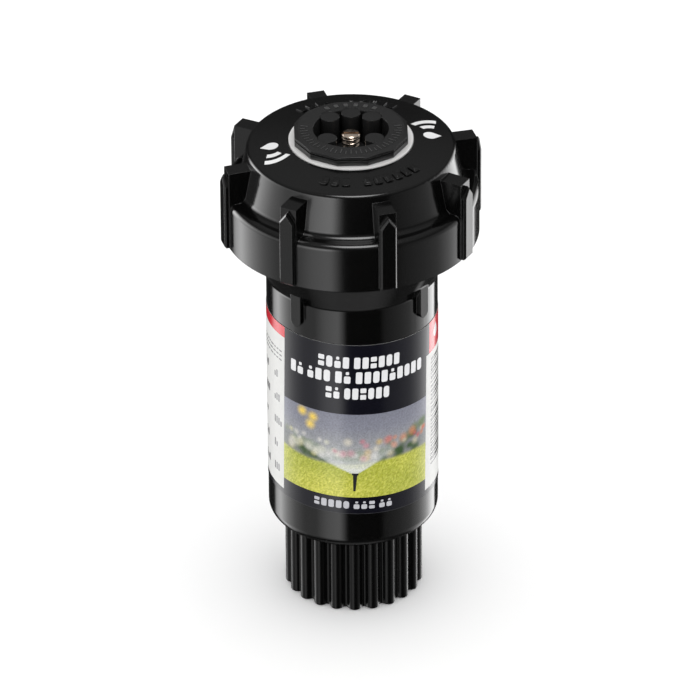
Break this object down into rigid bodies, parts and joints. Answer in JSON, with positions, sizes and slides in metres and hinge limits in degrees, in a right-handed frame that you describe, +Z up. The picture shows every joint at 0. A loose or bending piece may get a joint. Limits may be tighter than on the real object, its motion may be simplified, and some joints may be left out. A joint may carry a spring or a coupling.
{
  "type": "pop up sprinkler",
  "caption": "Pop up spray sprinkler: case with fluted pipe socket, ribbed screw cap, white wiper seal and a sprung riser that carries an adjustable nozzle.",
  "frame": {"origin": "centre of the inlet's mouth, at the bottom of the case", "axes": "+Z up along the riser, the way it pops up; the front with the printed panel faces -Y"},
  "size_m": [0.0558, 0.0558, 0.1122],
  "materials": {
    "black_abs": "moulded, glossy",
    "nozzle_black": "moulded, satin",
    "riser_black": "moulded, satin",
    "acetal_grey": "moulded, low friction",
    "printed_film": "printed gloss film",
    "white_seal": "smooth soft moulding",
    "black_rubber": "smooth",
    "spring_steel": "drawn wire",
    "screw_steel": "rolled thread",
    "filter_plastic": "moulded and woven screen"
  },
  "bodies": {
    "case_body": {"case": "black_abs", "label": "printed_film"},
    "seal_body": {"cap_gasket": "black_rubber", "spring_seat": "acetal_grey", "seal_insert": "acetal_grey", "wiper_seal": "white_seal", "retract_spring": "spring_steel"},
    "cap_body": {"cap": "black_abs"},
    "ratchet_body": {"ratchet_ring": "acetal_grey"},
    "riser_body": {"riser": "riser_black", "riser_foot": "riser_black", "nozzle_gasket": "black_rubber", "nozzle_base": "nozzle_black", "nozzle_core": "nozzle_black", "nozzle_deflector": "nozzle_black", "filter_frame": "filter_plastic", "filter_mesh": "filter_plastic", "filter_plug": "filter_plastic"},
    "screw_body": {"adjusting_screw": "screw_steel"}
  },
  "joints": [
    {"name": "cap_lift", "type": "slide", "parent": "case_body", "child": "seal_body", "axis": [0, 0, 1], "range_m": [0, 0.00601]},
    {"name": "cap_turn", "type": "hinge", "parent": "seal_body", "child": "cap_body", "pos_m": [0, 0, 0.09], "axis": [0, 0, 1], "range_deg": [0, 540]},
    {"name": "riser_pop_up", "type": "slide", "parent": "seal_body", "child": "ratchet_body", "axis": [0, 0, 1], "range_m": [0, 0.0508], "stiffness_N_per_m": 260, "springref_m": -0.02, "deforming": ["retract_spring"]},
    {"name": "riser_turn", "type": "hinge", "parent": "ratchet_body", "child": "riser_body", "pos_m": [0, 0, 0.06], "axis": [0, 0, 1], "continuous": true},
    {"name": "screw_turn", "type": "hinge", "parent": "riser_body", "child": "screw_body", "pos_m": [0, 0, 0.1], "axis": [0, 0, 1], "range_deg": [-1350, 360]}
  ],
  "couplings": [
    {"joint": "cap_lift", "follows": "cap_turn", "m_per_rad": 0.00063662}
  ]
}
